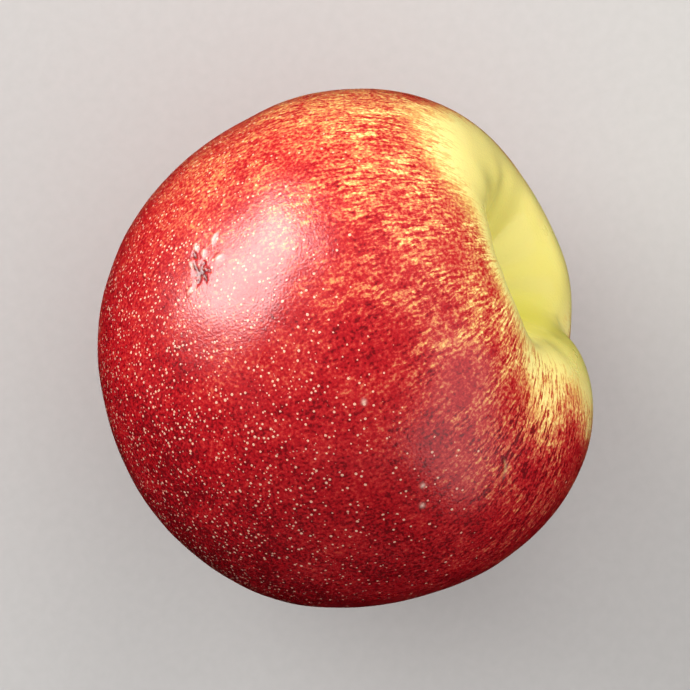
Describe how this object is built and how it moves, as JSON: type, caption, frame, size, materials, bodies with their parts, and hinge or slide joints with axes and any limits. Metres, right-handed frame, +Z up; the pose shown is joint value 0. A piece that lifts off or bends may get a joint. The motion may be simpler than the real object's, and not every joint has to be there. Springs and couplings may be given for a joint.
{
  "type": "nectarine",
  "caption": "Whole ripe nectarine lying on its side, with a deep stem cavity, a suture groove, a small blossom tip and a flat spot where it rests.",
  "frame": {"origin": "centre of the flat spot on which the fruit rests", "axes": "+Z up from the surface it rests on, +X along the horizontal heading of the stem end, -Z the outward normal of the flat spot"},
  "size_m": [0.0664, 0.0698, 0.0682],
  "materials": {
    "skin": "smooth waxy fruit skin, red blush over a yellow ground"
  },
  "bodies": {
    "root": {"nectarine": "skin"}
  },
  "joints": []
}
